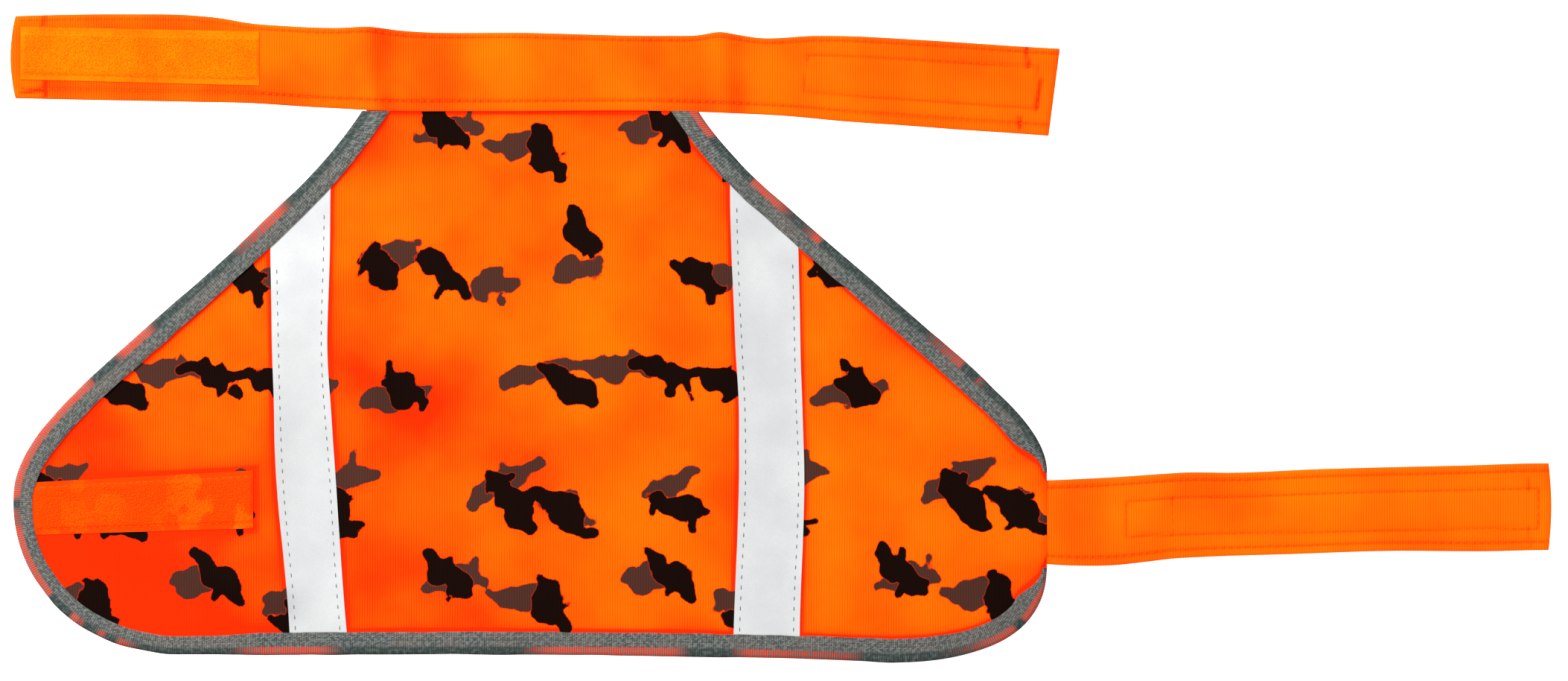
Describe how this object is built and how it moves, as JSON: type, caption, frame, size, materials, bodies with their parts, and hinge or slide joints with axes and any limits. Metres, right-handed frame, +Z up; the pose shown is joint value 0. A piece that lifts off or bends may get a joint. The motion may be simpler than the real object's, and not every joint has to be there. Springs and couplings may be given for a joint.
{
  "type": "dog safety vest",
  "caption": "Blaze orange camouflage safety vest for a small dog, laid flat: body panel with bound edge, two reflective tapes, a neck strap and a belly strap with hook-and-loop ends.",
  "frame": {"origin": "middle of the base of the vest laid flat, on the surface it lies on", "axes": "+Z up through the cloth, out of its printed face; +Y from the hem to the neck; +X towards the belly strap"},
  "size_m": [0.578, 0.2428, 0.0053],
  "materials": {
    "orange_print": "knitted polyester, printed with near-black and brown blotches",
    "orange_knit": "plain knitted polyester",
    "orange_pile": "brushed loop pile with smooth borders",
    "orange_hooks": "rows of small moulded hooks on a woven tape",
    "grey_binding": "soft knitted binding tape",
    "silver_tape": "glass-bead reflective tape",
    "grey_thread": "polyester sewing thread",
    "orange_thread": "polyester sewing thread"
  },
  "bodies": {
    "right_half": {"body_panel_right": "orange_print", "binding_right_lower": "grey_binding", "binding_right_upper": "grey_binding", "reflective_tape_right": "silver_tape", "neck_strap_mid_right": "orange_knit", "belly_strap_root": "orange_knit", "binding_right_lower_seam": "grey_thread", "binding_right_upper_seam": "grey_thread", "tape_right_inner_seam": "grey_thread", "tape_right_outer_seam": "grey_thread", "neck_closing_seam_right": "orange_thread", "neck_fold_seam_right": "orange_thread", "belly_join_seam": "orange_thread"},
    "left_half": {"body_panel_left": "orange_print", "binding_left": "grey_binding", "reflective_tape_left": "silver_tape", "neck_strap_mid_left": "orange_knit", "belly_loop_pad": "orange_pile", "binding_left_seam": "grey_thread", "tape_left_outer_seam": "grey_thread", "tape_left_inner_seam": "grey_thread", "neck_closing_seam_left": "orange_thread", "neck_fold_seam_left": "orange_thread", "belly_loop_seam": "orange_thread"},
    "neck_arm_left": {"neck_arm_left": "orange_knit", "neck_loop_pad": "orange_pile", "neck_arm_left_closing_seam": "orange_thread", "neck_arm_left_fold_seam": "orange_thread", "neck_loop_seam": "orange_thread"},
    "neck_arm_right": {"neck_arm_right": "orange_knit", "neck_hook_pad": "orange_hooks", "neck_arm_right_closing_seam": "orange_thread", "neck_arm_right_fold_seam": "orange_thread", "neck_hook_seam": "orange_thread"},
    "belly_strap": {"belly_strap": "orange_knit", "belly_hook_pad": "orange_hooks", "belly_strap_closing_seam": "orange_thread", "belly_strap_fold_seam": "orange_thread", "belly_hook_seam": "orange_thread"}
  },
  "joints": [
    {"name": "spine_fold", "type": "hinge", "parent": "right_half", "child": "left_half", "pos_m": [-0.0945, 0, 0.0014], "axis": [0, -1, 0], "range_deg": [-90, 90]},
    {"name": "neck_left_wrap", "type": "hinge", "parent": "left_half", "child": "neck_arm_left", "pos_m": [-0.1625, 0.1012, 0.0014], "axis": [0, -1, 0], "range_deg": [-60, 60]},
    {"name": "neck_right_wrap", "type": "hinge", "parent": "right_half", "child": "neck_arm_right", "pos_m": [-0.0145, 0.0991, 0.00215], "axis": [0, 1, 0], "range_deg": [-60, 60]},
    {"name": "belly_wrap", "type": "hinge", "parent": "right_half", "child": "belly_strap", "pos_m": [0.11, -0.0683, 0.00175], "axis": [0, 1, 0], "range_deg": [-90, 90]}
  ]
}
